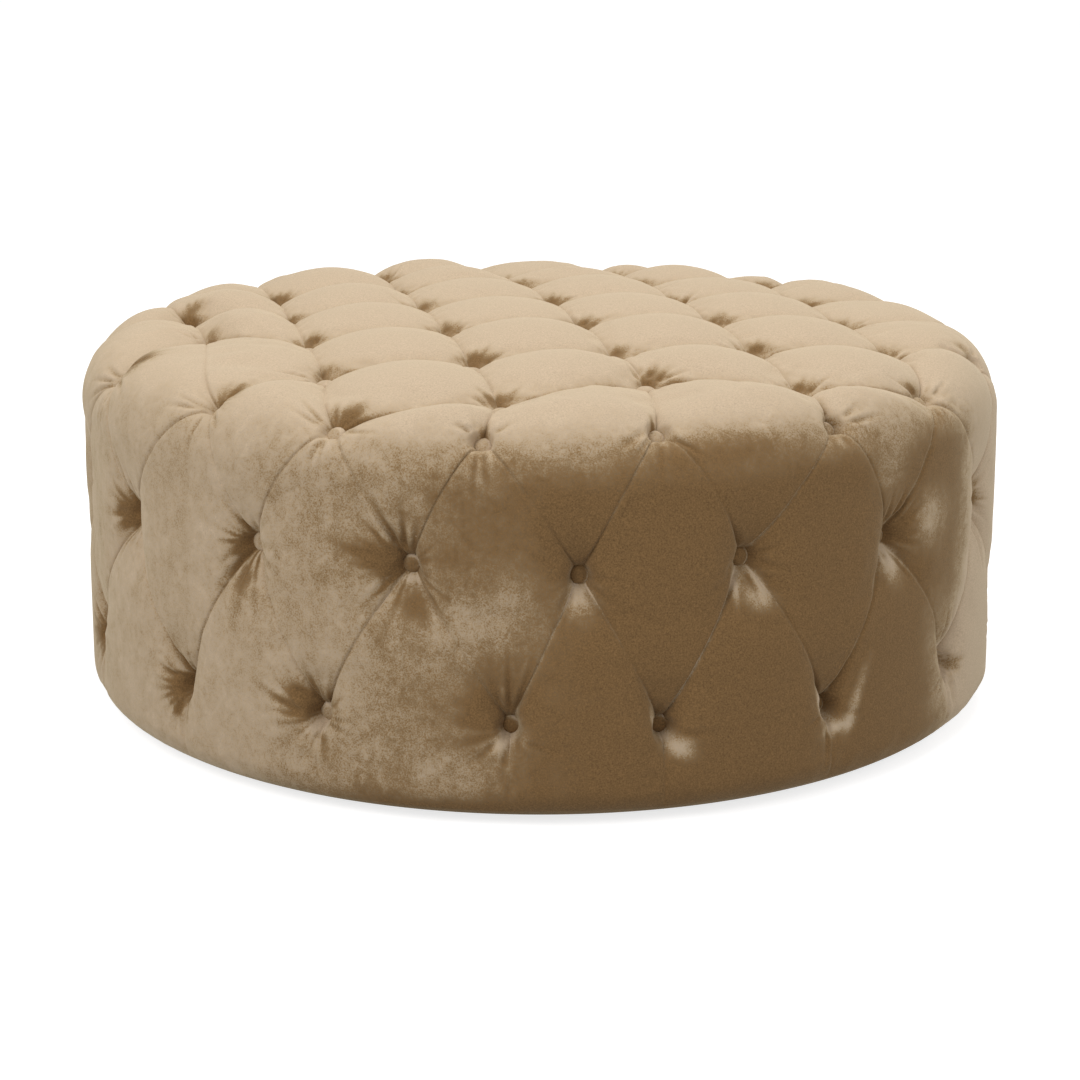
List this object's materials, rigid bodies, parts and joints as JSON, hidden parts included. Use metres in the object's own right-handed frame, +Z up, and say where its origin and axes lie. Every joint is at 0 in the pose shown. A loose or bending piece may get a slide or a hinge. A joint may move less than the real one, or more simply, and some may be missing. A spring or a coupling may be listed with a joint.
{
  "type": "tufted pouf",
  "caption": "Round low pouf with a deep-buttoned top and sides under one velvet cover that runs down to the floor, on a plywood drum with hidden glides.",
  "frame": {"origin": "centre of the pouf on the floor, under its glides", "axes": "+Z up the drum's axis, -Y towards the front as pictured, +X to the right"},
  "size_m": [1.0212, 1.0223, 0.4297],
  "materials": {
    "velvet": "short cut pile, camel velvet with a soft sheen",
    "foam": "open-cell upholstery foam",
    "plywood": "unsanded birch plywood",
    "softwood": "planed pine",
    "plated_steel": "bright zinc plate",
    "bare_steel": "drawn steel wire and screws",
    "waxed_twine": "waxed nylon tufting twine",
    "dust_cloth": "black non-woven dust cloth",
    "nylon": "moulded brown nylon"
  },
  "bodies": {
    "root": {"base_ring": "plywood", "base_screws": "bare_steel", "button_backs_edge": "plated_steel", "button_backs_lower": "plated_steel", "button_backs_top": "plated_steel", "button_backs_upper": "plated_steel", "button_caps_edge": "velvet", "button_caps_lower": "velvet", "button_caps_top": "velvet", "button_caps_upper": "velvet", "button_twines_edge": "waxed_twine", "button_twines_lower": "waxed_twine", "button_twines_top": "waxed_twine", "button_twines_upper": "waxed_twine", "centre_post": "softwood", "deck_board": "plywood", "deck_screws": "bare_steel", "dust_cover": "dust_cloth", "dust_cover_staples": "bare_steel", "floor_rail_lower": "softwood", "floor_rail_upper": "softwood", "foam_side_band": "foam", "foam_top_pad": "foam", "glide_1": "nylon", "glide_2": "nylon", "glide_3": "nylon", "glide_4": "nylon", "glide_5": "nylon", "glide_6": "nylon", "glide_pins": "bare_steel", "glue_blocks": "softwood", "hem_staples": "bare_steel", "panel_pins": "bare_steel", "post_1": "softwood", "post_2": "softwood", "post_3": "softwood", "post_4": "softwood", "post_5": "softwood", "post_6": "softwood", "post_7": "softwood", "post_8": "softwood", "post_9": "softwood", "rail_screws": "bare_steel", "side_panel_1": "plywood", "side_panel_2": "plywood", "side_panel_3": "plywood", "twine_washers_lower": "plated_steel", "twine_washers_top": "plated_steel", "twine_washers_upper": "plated_steel", "velvet_cover": "velvet"}
  },
  "joints": []
}
